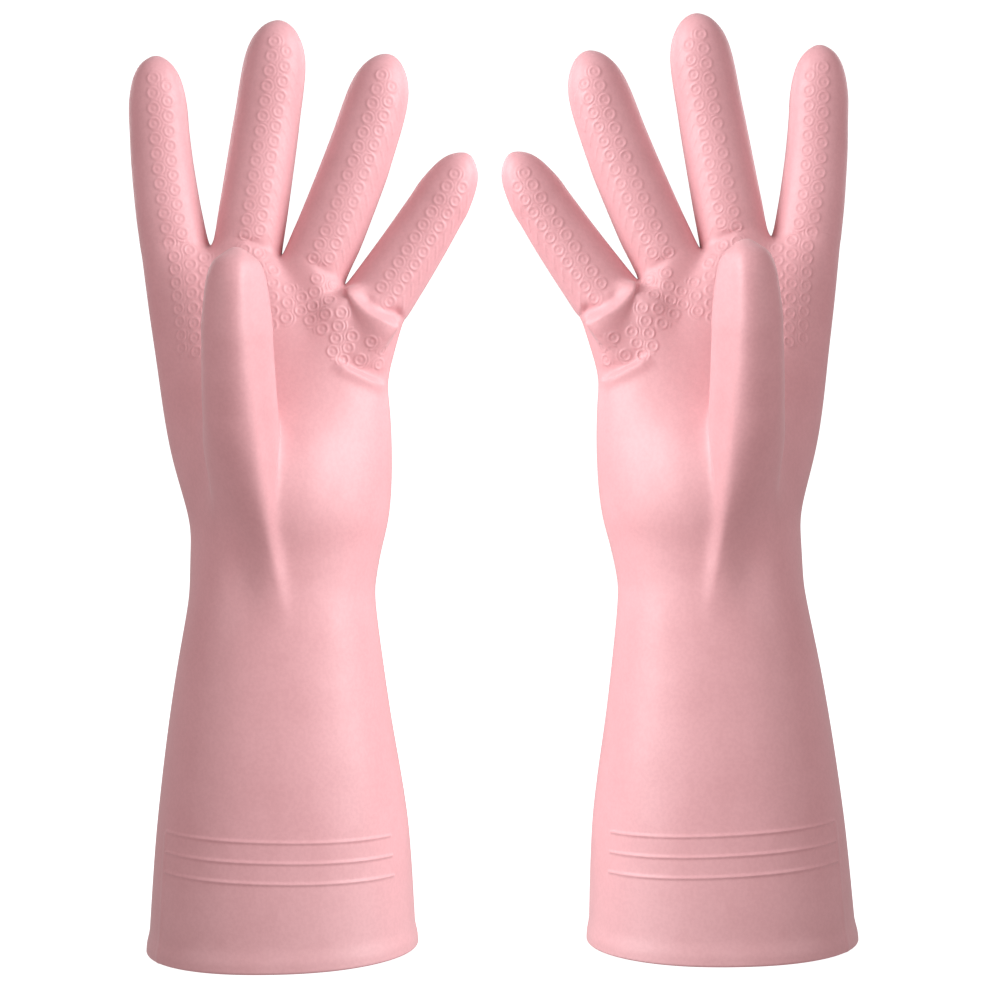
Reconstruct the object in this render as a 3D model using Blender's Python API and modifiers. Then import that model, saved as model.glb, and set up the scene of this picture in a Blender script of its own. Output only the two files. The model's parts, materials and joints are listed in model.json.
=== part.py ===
"""A pair of rubber household gloves standing on their cuffs, palms towards -Y, thumbs on the outside.

One glove is a lofted skin: an oval gauntlet that narrows to the wrist and widens into the hand, four
finger tubes and a thumb that stands in front of the palm. The skin is cut into the stiff stretches
that keep their shape and the short stretches that flex between them, and each stretch becomes a
shell of its own. The right glove is the left one mirrored about the plane X = 0.

Glove coordinates: X from the gauntlet's axis towards the little finger, Z up, Y from palm to back.
"""

import math

import bpy
import numpy as np

# ------------------------------------------------------------------ driving dimensions, in metres
GLOVE_OFFSET = 0.0764  # from the middle of the pair to each gauntlet's axis
WALL = 0.0007  # rubber skin
LINING = 0.0004  # cotton flock
LINING_CLEARANCE = 0.0003  # between the rubber and the lining
JOIN_GAP = 0.0004  # between neighbouring stretches of skin

COLUMNS = 20  # points round the gauntlet and the hand
RING = 8  # points round a finger
OVAL_POWER = 2.2  # of the gauntlet's and the hand's section, a little fuller than an ellipse

# Gauntlet, wrist and hand: height, centre, half width, depth to the palm side, depth to the back.
ARM = (
    (0.0000, 0.0000, 0.0464, 0.0362, 0.0362),
    (0.0445, 0.0007, 0.0433, 0.0335, 0.0335),
    (0.0865, 0.0005, 0.0375, 0.0290, 0.0290),
    (0.1295, 0.0024, 0.0324, 0.0250, 0.0240),
    (0.1485, 0.0046, 0.0346, 0.0240, 0.0220),
    (0.1755, 0.0022, 0.0387, 0.0210, 0.0195),
    (0.2035, -0.0001, 0.0404, 0.0175, 0.0170),
    (0.2175, 0.0012, 0.0437, 0.0150, 0.0150),
    (0.2415, 0.0014, 0.0467, 0.0115, 0.0115),
)

# Rolled hem: its height, the shares of it at which it is widest, and how far its foot, its widest
# part and its inner side lie from the rim.
BEAD_HEIGHT = 0.0026
BEAD_WIDEST = (0.3, 0.7)
BEAD_FOOT, BEAD_PROUD, BEAD_INSIDE = 0.0002, 0.0008, 0.0010
GAUNTLET_ROWS = (0.0030, 0.018, 0.046, 0.061, 0.078, 0.098, 0.1175)
LINING_FOOT_ROW = 2  # the flock stops above the hem, at this row of the gauntlet
WRIST_ROWS = (0.1275, 0.1385)
THUMB_ROWS = (0.1500, 0.1675, 0.1855)  # the thumb's root opens between the first and the last
THUMB_COLUMNS = (2, 3, 4)
PALM_ROWS = 3  # rows between the thumb's root and the finger roots

# Share of the half width at which each palm column runs, from the index side to the little finger.
CUFF_SPREAD = tuple(-math.cos(math.pi * k / 10) for k in range(11))
PALM_SPREAD = (-1, -0.93, -0.62, -0.28, 0.06, 0.30, 0.50, 0.69, 0.86, 0.955, 1)
SPREAD_FROM, SPREAD_TO = 0.1175, 0.1665  # heights between which the columns shift over

# Fingers: root centre and tip as (x, z), sideways bow, half widths at root, middle and tip.
FINGERS = {
    "index": ((-0.0333, 0.2417), (-0.0377, 0.3090), -0.0020, (0.0119, 0.0106, 0.0094)),
    "middle": ((-0.0084, 0.2430), (0.0052, 0.3205), 0.0000, (0.0120, 0.0115, 0.0102)),
    "ring": ((0.0144, 0.2354), (0.0426, 0.3082), 0.0016, (0.0118, 0.0116, 0.0098)),
    "little": ((0.0355, 0.2230), (0.0692, 0.2734), 0.0006, (0.0120, 0.0106, 0.0088)),
}
FINGER_DEPTH = 0.88  # share of the half width
FINGER_FORWARD = 0.006  # how far a relaxed fingertip lies in front of its root
FINGERTIP = 0.016  # length of the rounded end
TIP_RINGS = (32, 58, 78)  # rings on the rounded end, in degrees towards the tip
WEB_DIP = 0.003  # the skin between two fingers dips this much in front of and behind its middle
ROOT_COLLAR = 0.003  # stretch of each finger that belongs to the hand
KNUCKLE_FLEX, MIDDLE_FLEX = 0.014, 0.015  # flexing stretches of a finger
MIDDLE_AT = 0.54  # the middle joint's place, as a share of the finger's length

# The ball of the thumb swells out of the palm round one height and one share of the half width. It
# falls off over one reach below and on the index side, and over another above and on the other side.
BALL_SWELL = 0.0115
BALL_HEIGHT, BALL_SPANS = 0.1625, (0.019, 0.024)
BALL_SHARE, BALL_SHARES = -0.27, (0.42, 0.80)

# Thumb: a curve from inside the ball of the thumb to the tip, through one control point.
THUMB_CURVE = ((-0.0066, -0.0250, 0.1635), (-0.0068, -0.0440, 0.1925), (-0.0042, -0.0525, 0.2356))
THUMB_WIDTHS = (0.0130, 0.0119, 0.0102)
THUMB_DEPTH = 0.92
THUMB_STEPS = 41  # points along the curve at which its length is measured
THUMB_COLLAR = 0.28  # shares of the thumb's length, from its root
THUMB_ROOT_FLEX = (0.28, 0.46)
THUMB_MIDDLE_FLEX = (0.59, 0.73)

RUBBER_PINK = (0.80, 0.42, 0.45, 1)
FLOCK_WHITE = (0.86, 0.80, 0.78, 1)


# ------------------------------------------------------------------------------- smooth functions
def profile(height):
    """Centre, half width, palm depth and back depth of the arm at one height."""
    table = np.array(ARM)
    heights, values = table[:, 0], table[:, 1:]
    slopes = np.gradient(values, heights, axis=0)
    i = int(np.clip(np.searchsorted(heights, height) - 1, 0, len(heights) - 2))
    step = heights[i + 1] - heights[i]
    t = (height - heights[i]) / step
    return (
        (1 + 2 * t) * (1 - t) ** 2 * values[i]
        + t * (1 - t) ** 2 * step * slopes[i]
        + t * t * (3 - 2 * t) * values[i + 1]
        + t * t * (t - 1) * step * slopes[i + 1]
    )


def smoothstep(low, high, value):
    t = min(max((value - low) / (high - low), 0), 1)
    return t * t * (3 - 2 * t)


def quadratic(values, t):
    """A smooth curve through three values at t = 0, 1/2 and 1."""
    first, middle, last = values
    control = 2 * middle - (first + last) / 2
    return (1 - t) ** 2 * first + 2 * t * (1 - t) * control + t * t * last


# ---------------------------------------------------------------------------------- the skin cage
class Skin:
    """The points of one glove's skin, and its four-sided faces, each with its stretch's name."""

    def __init__(self):
        self.points, self.faces = [], []

    def add(self, points):
        first = len(self.points)
        self.points.extend(np.asarray(points, float))
        return list(range(first, len(self.points)))

    def band(self, stretch, low, high, skip=()):
        """Joins two rings of equal length, leaving out the faces that start at the skipped points."""
        for i in range(len(low)):
            j = (i + 1) % len(low)
            if i not in skip:
                self.faces.append((stretch, (low[i], low[j], high[j], high[i])))


def spread(height):
    """Every column's share of the half width, and whether it runs on the palm side (-1) or back."""
    mix = smoothstep(SPREAD_FROM, SPREAD_TO, height)
    front = [(1 - mix) * a + mix * b for a, b in zip(CUFF_SPREAD, PALM_SPREAD)]
    return [(f, -1) for f in front] + [(f, 1) for f in front[9:0:-1]]


def arm_point(height, share, side):
    centre, half_width, palm, back = profile(height)
    depth = (palm if side < 0 else back) * math.sqrt(max(1 - abs(share) ** OVAL_POWER, 0))
    if side < 0:
        aside = (share - BALL_SHARE) / BALL_SHARES[share > BALL_SHARE]
        above = (height - BALL_HEIGHT) / BALL_SPANS[height > BALL_HEIGHT]
        depth += BALL_SWELL * math.exp(-(aside**2) - above**2)
    return np.array((centre + half_width * share, side * depth, height))


def arm_row(height):
    return [arm_point(height, share, side) for share, side in spread(height)]


def ring(centre, across, back, half_width, half_depth):
    """Eight points round a tube, from the index side over the palm side and on round the back."""
    angles = [math.pi + 2 * math.pi * k / RING for k in range(RING)]
    return [
        centre + across * half_width * math.cos(a) + back * half_depth * math.sin(a) for a in angles
    ]


def close_tip(skin, stretch, last, tip):
    (end,) = skin.add([tip])
    for k in range(0, RING, 2):
        skin.faces.append((stretch, (end, last[k], last[k + 1], last[(k + 2) % RING])))


def tube(skin, name, root, place, length, stations, tip_length):
    """A finger or thumb: bands between the stations, each (distance, stretch below it), then the tip."""
    low = root
    for distance, stretch in stations:
        high = skin.add(ring(*place(distance)))
        skin.band(stretch, low, high)
        low = high
    start = length - tip_length
    for angle in TIP_RINGS:
        a = math.radians(angle)
        centre, across, back, half_width, half_depth = place(start + tip_length * math.sin(a))
        shrink = math.cos(a)
        high = skin.add(ring(centre, across, back, half_width * shrink, half_depth * shrink))
        skin.band(f"{name}_tip", low, high)
        low = high
    close_tip(skin, f"{name}_tip", low, place(length)[0])


# ------------------------------------------------------------------------------------ the fingers
def finger_place(name):
    """The finger's length, and the function from a distance along it to the tube's place there."""
    root, tip, bow, widths = FINGERS[name]
    root, tip = np.array(root), np.array(tip)
    length = float(np.linalg.norm(tip - root))
    along = (tip - root) / length
    across = np.array((along[1], -along[0]))

    def place(distance):
        t = distance / length
        middle = root + along * distance + across * (bow * 4 * t * (1 - t))
        heading = along + across * (bow * 4 * (1 - 2 * t) / length)
        heading = heading / np.linalg.norm(heading)
        centre = np.array((middle[0], -FINGER_FORWARD * t * t, middle[1]))
        half_width = quadratic(widths, t)
        side = np.array((heading[1], 0, -heading[0]))
        return centre, side, np.array((0.0, 1.0, 0.0)), half_width, half_width * FINGER_DEPTH

    return length, place


def finger_joints(name):
    """Distances along the finger at which its two flexing stretches start and end."""
    length, _ = finger_place(name)
    middle = length * MIDDLE_AT
    return (
        (ROOT_COLLAR, ROOT_COLLAR + KNUCKLE_FLEX),
        (middle - MIDDLE_FLEX / 2, middle + MIDDLE_FLEX / 2),
    )


def finger(skin, name, root):
    length, place = finger_place(name)
    (knuckle, knuckle_end), (middle, middle_end) = finger_joints(name)
    stations = (
        (knuckle, "hand"),
        ((knuckle + knuckle_end) / 2, f"{name}_knuckle_flex"),
        (knuckle_end, f"{name}_knuckle_flex"),
        (middle, f"{name}_base"),
        ((middle + middle_end) / 2, f"{name}_middle_flex"),
        (middle_end, f"{name}_middle_flex"),
        (length - FINGERTIP, f"{name}_tip"),
    )
    tube(skin, name, root, place, length, stations, FINGERTIP)


def thumb_length():
    a, b, c = (np.array(p) for p in THUMB_CURVE)
    steps = np.linspace(0, 1, THUMB_STEPS)[:, None]
    curve = (1 - steps) ** 2 * a + 2 * steps * (1 - steps) * b + steps**2 * c
    return float(np.linalg.norm(np.diff(curve, axis=0), axis=1).sum())


def thumb_place(distance):
    t = distance / thumb_length()
    a, b, c = (np.array(p) for p in THUMB_CURVE)
    centre = (1 - t) ** 2 * a + 2 * t * (1 - t) * b + t * t * c
    along = (1 - t) * (b - a) + t * (c - b)
    along /= np.linalg.norm(along)
    across = np.cross(np.array((0.0, 1.0, 0.0)), along)
    across /= np.linalg.norm(across)
    half_width = quadratic(THUMB_WIDTHS, t)
    return centre, across, np.cross(along, across), half_width, half_width * THUMB_DEPTH


def thumb(skin, root):
    length = thumb_length()
    (root_flex, root_end), (middle, middle_end) = THUMB_ROOT_FLEX, THUMB_MIDDLE_FLEX
    shares = (
        (THUMB_COLLAR, "hand"),
        ((root_flex + root_end) / 2, "thumb_root_flex"),
        (root_end, "thumb_root_flex"),
        (middle, "thumb_base"),
        ((middle + middle_end) / 2, "thumb_middle_flex"),
        (middle_end, "thumb_middle_flex"),
    )
    stations = [(share * length, stretch) for share, stretch in shares]
    tube(skin, "thumb", root, thumb_place, length, stations, FINGERTIP)


# --------------------------------------------------------------------------- gauntlet, palm, hand
def finger_roots(skin):
    """The hand's top edge: its twenty columns, and each finger's own ring of eight."""
    rings = []
    for name in FINGERS:
        _, place = finger_place(name)
        rings.append(ring(*place(0)))
    dip = np.array((0, 0, WEB_DIP))
    for left, right in zip(rings, rings[1:]):
        left[4] = right[0] = (left[4] + right[0]) / 2
        left[3] = right[1] = (left[3] + right[1]) / 2 - dip
        left[5] = right[7] = (left[5] + right[7]) / 2 - dip
    columns = [None] * COLUMNS
    webs = []
    for f, points in enumerate(rings):
        front = [2 * f + 1, 2 * f + 2, 2 * f + 3]
        for column, k in zip(front + [COLUMNS - c for c in front], (1, 2, 3, 7, 6, 5)):
            columns[column] = points[k]
        if f:
            webs.append(points[0])
    columns[0], columns[10] = rings[0][0], rings[3][4]
    top = skin.add(columns)
    webs = [top[0], *skin.add(webs), top[10]]
    roots = []
    for f in range(len(rings)):
        front = top[2 * f + 1 : 2 * f + 4]
        back = [top[COLUMNS - c] for c in (2 * f + 3, 2 * f + 2, 2 * f + 1)]
        roots.append([webs[f], *front, webs[f + 1], *back])
    return top, roots


def palm_rows(skin, below, top):
    """Rows that lead from the level row under the finger roots to the sloping edge of the hand."""
    rows = []
    for step in range(1, PALM_ROWS):
        mix = step / PALM_ROWS
        row = []
        for k, (share, side) in enumerate(spread(SPREAD_TO)):
            start, end = skin.points[below[k]], skin.points[top[k]]
            height = (1 - mix) * start[2] + mix * end[2]
            held = arm_point(height, share, side)
            straight = (1 - mix) * start + mix * end
            row.append((1 - mix**2) * held + mix**2 * straight)
            row[-1][2] = height
        rows.append(skin.add(row))
    return rows


def glove_skin():
    skin = Skin()
    rows = [skin.add(arm_row(h)) for h in GAUNTLET_ROWS]
    for low, high in zip(rows, rows[1:]):
        skin.band("gauntlet", low, high)
    wrist = [skin.add(arm_row(h)) for h in WRIST_ROWS]
    for low, high in zip([rows[-1], *wrist], wrist):
        skin.band("wrist_flex", low, high)

    root_rows = [skin.add(arm_row(h)) for h in THUMB_ROWS]
    opening = THUMB_COLUMNS[:-1]
    skin.band("hand", wrist[-1], root_rows[0])
    for low, high in zip(root_rows, root_rows[1:]):
        skin.band("hand", low, high, skip=opening)

    top, roots = finger_roots(skin)
    rows = [root_rows[-1], *palm_rows(skin, root_rows[-1], top), top]
    for low, high in zip(rows, rows[1:]):
        skin.band("hand", low, high)
    for name, root in zip(FINGERS, roots):
        finger(skin, name, root)

    low, middle, high = root_rows
    a, b, c = THUMB_COLUMNS
    ball = [middle[a], low[a], low[b], low[c], middle[c], high[c], high[b], high[a]]
    thumb(skin, ball)
    return skin


# -------------------------------------------------------------------------------- turning to solids
def sunk(points, faces, depth):
    """The same points pushed down into the sheet, along its normals."""
    used = sorted({i for face in faces for i in face})
    number = {old: new for new, old in enumerate(used)}
    mesh = bpy.data.meshes.new("measure")
    mesh.from_pydata([tuple(points[i]) for i in used], [], [[number[i] for i in f] for f in faces])
    moved = points.copy()
    for old, normal in zip(used, mesh.vertex_normals):
        moved[old] = points[old] - np.array(normal.vector) * depth
    bpy.data.meshes.remove(mesh)
    return moved


def pulled_in(points, faces, gap):
    """The same points with every edge of the open sheet drawn back along the surface."""
    count = {}
    for face in faces:
        for pair in zip(face, face[1:] + face[:1]):
            key = tuple(sorted(pair))
            count[key] = count.get(key, 0) + 1
    border = {i for pair, n in count.items() if n == 1 for i in pair}
    moved = points.copy()
    for i in border:
        inner = [b if a == i else a for (a, b), n in count.items() if n == 2 and i in (a, b)]
        if inner:
            away = np.mean([points[k] for k in inner], axis=0) - points[i]
            moved[i] = points[i] + away / np.linalg.norm(away) * gap
    return moved


def link(obj, material):
    obj.data.materials.append(material)
    obj.data.shade_smooth()
    PARTS.objects.link(obj)
    return obj


def sheet_object(name, points, faces, side, thickness, material):
    """An open sheet in its glove's place, thickened inwards. side is -1 for the left glove."""
    used = sorted({i for face in faces for i in face})
    number = {old: new for new, old in enumerate(used)}
    placed = points[used] * (-side, 1, 1) + (side * GLOVE_OFFSET, DEPTH_SHIFT, 0)
    turned = faces if side < 0 else [face[::-1] for face in faces]
    mesh = bpy.data.meshes.new(name)
    mesh.from_pydata([tuple(p) for p in placed], [], [[number[i] for i in f] for f in turned])
    obj = link(bpy.data.objects.new(name, mesh), material)
    shell = obj.modifiers.new("thickness", "SOLIDIFY")
    shell.thickness = thickness
    shell.offset = -1
    return obj


def bead_object(name, side, material):
    """The rolled hem: a bead of flattened round section that runs round the foot of the gauntlet."""
    rim = np.array(arm_row(0))
    outward = rim * (1, 1, 0)
    outward /= np.linalg.norm(outward, axis=1, keepdims=True)
    up = np.array((0, 0, 1.0))
    # outline of the section: distance outward from the rim, height
    outline = [
        (BEAD_FOOT, 0),
        (BEAD_PROUD, BEAD_WIDEST[0] * BEAD_HEIGHT),
        (BEAD_PROUD, BEAD_WIDEST[1] * BEAD_HEIGHT),
        (BEAD_FOOT, BEAD_HEIGHT),
        (-BEAD_INSIDE, BEAD_HEIGHT),
        (-BEAD_INSIDE, 0),
    ]
    loops = [rim + outward * out + up * height for out, height in outline]
    points = np.concatenate(loops) * (-side, 1, 1) + (side * GLOVE_OFFSET, DEPTH_SHIFT, 0)
    faces = []
    for k in range(len(outline)):
        low, high = k * COLUMNS, (k + 1) % len(outline) * COLUMNS
        for i in range(COLUMNS):
            j = (i + 1) % COLUMNS
            faces.append((low + i, low + j, high + j, high + i))
    faces = faces if side < 0 else [face[::-1] for face in faces]
    mesh = bpy.data.meshes.new(name)
    mesh.from_pydata([tuple(p) for p in points], [], faces)
    return link(bpy.data.objects.new(name, mesh), material)


def make_material(name, colour, roughness):
    material = bpy.data.materials.new(name)
    material.use_nodes = True
    shader = material.node_tree.nodes["Principled BSDF"]
    shader.inputs["Base Color"].default_value = colour
    shader.inputs["Roughness"].default_value = roughness
    shader.inputs["Metallic"].default_value = 0
    material.diffuse_color = colour
    return material


def make_glove(hand_name, side, skin):
    rubber = make_material(f"{hand_name}_rubber", RUBBER_PINK, 0.45)
    flock = make_material(f"{hand_name}_flock", FLOCK_WHITE, 0.95)
    points = np.array(skin.points)
    bead_object(f"{hand_name}_cuff_bead", side, rubber)
    stretches = {}
    for stretch, face in skin.faces:
        stretches.setdefault(stretch, []).append(face)
    for stretch, faces in stretches.items():
        trimmed = pulled_in(points, faces, JOIN_GAP / 2)
        sheet_object(f"{hand_name}_{stretch}", trimmed, faces, side, WALL, rubber)

    foot = LINING_FOOT_ROW * COLUMNS
    lined = {
        "gauntlet": [face for face in stretches["gauntlet"] if min(face) >= foot],
        "hand": stretches["hand"],
    }
    for stretch, faces in lined.items():
        inner = sunk(pulled_in(points, faces, JOIN_GAP), faces, WALL + LINING_CLEARANCE)
        sheet_object(f"{hand_name}_{stretch}_lining", inner, faces, side, LINING, flock)


def clear_scene():
    for obj in list(bpy.data.objects):
        bpy.data.objects.remove(obj)


clear_scene()
PARTS = bpy.data.collections.new("rubber_gloves")
bpy.context.scene.collection.children.link(PARTS)
SKIN = glove_skin()
DEPTHS = [p[1] for p in SKIN.points] + [ARM[0][4] + BEAD_PROUD]
DEPTH_SHIFT = -(min(DEPTHS) + max(DEPTHS)) / 2  # puts the origin in the middle of the pair's depth
make_glove("left", -1, SKIN)
make_glove("right", 1, SKIN)
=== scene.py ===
"""Looks of a pair of pink rubber household gloves, standing on their cuffs, palms to the front.

Each glove is one smooth skin over a four-sided cage. The skin is sampled finely where its relief is
fine, shaped by folds and dents, given its grip, ribs and rolled hem, and cut into pieces. Those of
the gauntlet and the hand ride on the frame's bodies; those across its joints stay where they are
made.
The right glove is the left one mirrored.

Glove coordinates: X from the gauntlet's axis towards the little finger, Z up, Y from palm to back.
"""

import json
import math

import bpy
import numpy as np
from mathutils import Euler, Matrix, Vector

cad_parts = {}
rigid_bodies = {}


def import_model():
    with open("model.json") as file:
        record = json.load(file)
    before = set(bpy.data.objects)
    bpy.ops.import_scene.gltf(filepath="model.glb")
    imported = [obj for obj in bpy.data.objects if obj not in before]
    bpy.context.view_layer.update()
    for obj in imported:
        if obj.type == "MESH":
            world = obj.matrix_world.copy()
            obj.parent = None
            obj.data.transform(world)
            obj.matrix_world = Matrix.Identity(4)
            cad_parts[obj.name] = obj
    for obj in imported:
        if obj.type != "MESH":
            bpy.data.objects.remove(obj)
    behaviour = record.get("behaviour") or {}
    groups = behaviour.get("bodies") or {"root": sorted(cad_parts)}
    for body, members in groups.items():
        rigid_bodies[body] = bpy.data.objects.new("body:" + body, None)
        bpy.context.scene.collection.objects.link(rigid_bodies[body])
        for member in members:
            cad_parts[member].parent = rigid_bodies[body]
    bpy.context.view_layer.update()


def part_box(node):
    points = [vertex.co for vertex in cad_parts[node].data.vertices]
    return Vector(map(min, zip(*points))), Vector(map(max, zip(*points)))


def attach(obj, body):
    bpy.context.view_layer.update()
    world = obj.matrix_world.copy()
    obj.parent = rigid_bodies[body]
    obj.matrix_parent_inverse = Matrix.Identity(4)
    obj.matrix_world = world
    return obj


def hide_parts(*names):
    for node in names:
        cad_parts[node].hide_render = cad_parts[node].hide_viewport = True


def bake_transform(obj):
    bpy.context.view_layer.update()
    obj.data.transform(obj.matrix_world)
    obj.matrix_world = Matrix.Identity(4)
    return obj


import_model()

# ------ driving dimensions, in metres
WALL = 0.0007  # rubber skin
LINING = 0.0004  # cotton flock
LINING_CLEARANCE = 0.0003  # between the rubber and the lining

COLUMNS = 20  # points round the gauntlet and the hand
HALF = COLUMNS // 2  # the column on the little finger's side
RING = 8  # points round a finger
OVAL_POWER = 2.2  # of the gauntlet's and the hand's section, a little fuller than an ellipse

# Gauntlet, wrist and hand: height, centre, half width, depth to the palm side, depth to the back.
ARM = (
    (0.0000, 0.0000, 0.0464, 0.0362, 0.0362),
    (0.0445, 0.0007, 0.0433, 0.0335, 0.0335),
    (0.0865, 0.0005, 0.0375, 0.0290, 0.0290),
    (0.1295, 0.0024, 0.0324, 0.0250, 0.0240),
    (0.1485, 0.0046, 0.0346, 0.0240, 0.0220),
    (0.1755, 0.0022, 0.0387, 0.0210, 0.0195),
    (0.2035, -0.0001, 0.0404, 0.0175, 0.0170),
    (0.2175, 0.0012, 0.0437, 0.0150, 0.0150),
    (0.2415, 0.0014, 0.0467, 0.0115, 0.0115),
)
GAUNTLET_ROWS = (0.0, 0.004, 0.016, 0.026, 0.036, 0.046, 0.061, 0.078, 0.098, 0.1175)
LINING_FOOT_ROW = 5  # the flock stops above the ribs, at this row of the gauntlet
WRIST_ROWS = (0.1275, 0.1385)
THUMB_ROWS = (0.1500, 0.1675, 0.1855)  # the thumb's root opens between the first and the last
THUMB_COLUMNS = (2, 3, 4)
PALM_ROWS = 3  # rows between the thumb's root and the finger roots

# Share of the half width at which each palm column runs, from the index side to the little finger.
CUFF_SPREAD = tuple(-math.cos(math.pi * k / HALF) for k in range(HALF + 1))
PALM_SPREAD = (-1, -0.93, -0.62, -0.28, 0.06, 0.30, 0.50, 0.69, 0.86, 0.955, 1)
SPREAD_FROM, SPREAD_TO = 0.1175, 0.1665  # heights between which the columns shift over

# Fingers: root centre and tip as (x, z), sideways bow, half widths at root, middle and tip.
FINGERS = {
    "index": ((-0.0333, 0.2417), (-0.0377, 0.3090), -0.0020, (0.0119, 0.0106, 0.0094)),
    "middle": ((-0.0084, 0.2430), (0.0052, 0.3205), 0.0000, (0.0120, 0.0115, 0.0102)),
    "ring": ((0.0144, 0.2354), (0.0426, 0.3082), 0.0016, (0.0118, 0.0116, 0.0098)),
    "little": ((0.0355, 0.2230), (0.0692, 0.2734), 0.0006, (0.0120, 0.0106, 0.0088)),
}
FINGER_DEPTH = 0.88  # share of the half width
FINGER_FORWARD = 0.006  # how far a relaxed fingertip lies in front of its root
FINGERTIP = 0.016  # length of the rounded end
TIP_RINGS = (32, 58, 78)  # rings on the rounded end, in degrees towards the tip
WEB_DIP = 0.003  # the skin between two fingers dips this much in front of and behind its middle
ROOT_COLLAR = 0.003  # stretch of each finger that belongs to the hand
KNUCKLE_FLEX, MIDDLE_FLEX = 0.014, 0.015  # flexing stretches of a finger
MIDDLE_AT = 0.54  # the middle joint's place, as a share of the finger's length

# The ball of the thumb swells out of the palm round one height and one share of the half width. It
# falls off over one reach below and on the index side, and over another the other ways.
BALL_SWELL = 0.0115
BALL_HEIGHT, BALL_SPANS = 0.1625, (0.019, 0.024)
BALL_SHARE, BALL_SHARES = -0.27, (0.42, 0.80)

# Thumb: a curve from inside the ball of the thumb to the tip, bent by one control point.
THUMB_CURVE = ((-0.0066, -0.0250, 0.1635), (-0.0068, -0.0440, 0.1925), (-0.0042, -0.0525, 0.2356))
THUMB_WIDTHS = (0.0130, 0.0119, 0.0102)
THUMB_DEPTH = 0.92
# Its flexing stretches, in shares of its length. What lies before the first belongs to the hand,
# with a ring at these shares of the way from the root.
THUMB_ROOT_FLEX, THUMB_MIDDLE_FLEX = (0.28, 0.46), (0.59, 0.73)
THUMB_HALFWAY = (0.5,) * 5 + (0.85,) * 3

# The places worked out at a digit's joints lie this far into its flexing stretch and this far
# beyond it.
BEND_INTO, BEND_BEYOND = 0.0006, 0.0035

# Sampling of the smooth skin: every cage edge is cut at some of UNIT equal steps.
UNIT = 48
CELL_COUNTS = (2, 4, 6, 8, 12, 16, 24, 48)  # the ways to cut an edge, all dividing UNIT
GRIP_CELL, RIB_CELL, PALM_CELL, PLAIN_CELL, INNER_CELL = 0.0004, 0.00026, 0.0010, 0.0016, 0.0030
GRIPPED, TIP_END, PLAIN = [(cell, cell) for cell in (GRIP_CELL, 2 * GRIP_CELL, PLAIN_CELL)]
CURVE_STEPS = np.linspace(0, 1, 41)[:, None]  # places at which a curve is sampled
SMOOTH_LEVEL = 5
SMOOTH_STEPS = 2**SMOOTH_LEVEL
FIT_ROUNDS = 8

# Rolled hem: the skin swells over the last millimetres and turns under in a half round.
HEM_SWELL, HEM_INSIDE = 0.0007, 0.0006
HEM_FROM, HEM_TO = 0.0025, 0.0085
HEM_ROUND = 0.0009

# Three ribs across the front and the back of the cuff, and a line at their outer ends in front.
RIB_HEIGHTS = (0.0293, 0.0360, 0.0427)  # at the gauntlet's axis
RIB_SLOPE = -0.038  # the ribs drop towards the little finger's side
RIB_PROUD, RIB_WIDTH = 0.00038, 0.00055
RIB_SHARES = (-0.85, 0.91)  # shares of the half width between which the ribs run
RIB_FADE = 0.02  # share over which a rib's end fades out
NARROW_FACES = (1, 2, 8)  # the faces round the cuff that hold the side line and the ribs' ends
RIBS_FROM, RIBS_TO = 0.0265, 0.0455  # heights between which the relief lies
SIDE_LINE_PROUD, SIDE_LINE_WIDTH, SIDE_LINE_TOP, SIDE_LINE_FADE = 0.00022, 0.0007, 0.0445, 0.002

# Grip: small rings in two columns along each finger, linked by curved lines, and slanting strokes.
PITCH = 0.0051  # from ring to ring along a column
COLUMN_STEP = 0.0051  # from the first column to the second
FIRST_RING = 0.0090  # from the fingertip to the first ring
LAST_RING = 0.0015  # no ring lies closer than this to the finger's root
RING_RADIUS, RING_WIDTH, RING_PROUD = 0.0018, 0.00040, 0.00023
DOT_WIDTH, DOT_PROUD = 0.00050, 0.00014
LINK_RADIUS, LINK_WIDTH, LINK_PROUD = 0.0029, 0.00034, 0.00016
LINKS_FROM = (-100, 90)  # degrees at which a link starts round its ring, in either column
STROKE_AT, STROKE_LENGTH, STROKE_SLANT = 0.0098, 0.0042, 52  # the slant is in degrees
STROKED = ("middle", "ring", "little")
MARK_REACH = 0.0045
GRIP_FRONT = -0.034  # what stands further forward than this, such as the thumb, has no grip

# Columns of rings on the palm: (x, z) of the upper and of the lower end.
PALM_COLUMNS = (
    ((-0.0319, 0.2392), (-0.0297, 0.2076)),
    ((-0.0269, 0.2417), (-0.0244, 0.2060)),
    ((-0.0219, 0.2390), (-0.0205, 0.2110)),
    ((-0.0170, 0.2366), (-0.0162, 0.2130)),
    ((-0.0124, 0.2390), (-0.0120, 0.2160)),
    ((-0.0078, 0.2410), (-0.0075, 0.2175)),
    ((-0.0030, 0.2400), (-0.0030, 0.2165)),
    ((0.0019, 0.2340), (0.0017, 0.2150)),
    ((0.0071, 0.2274), (0.0064, 0.2172)),
    ((0.0115, 0.2243), (0.0111, 0.2196)),
    ((0.0166, 0.2308), (0.0146, 0.2164)),
    ((0.0222, 0.2284), (0.0188, 0.2130)),
    ((0.0250, 0.2186), (0.0220, 0.2054)),
    ((0.0288, 0.2107), (0.0254, 0.2026)),
    ((0.0350, 0.2089), (0.0312, 0.2028)),
    ((0.0388, 0.2061), (0.0372, 0.2015)),
)
PALM_PITCH = 0.0048

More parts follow.
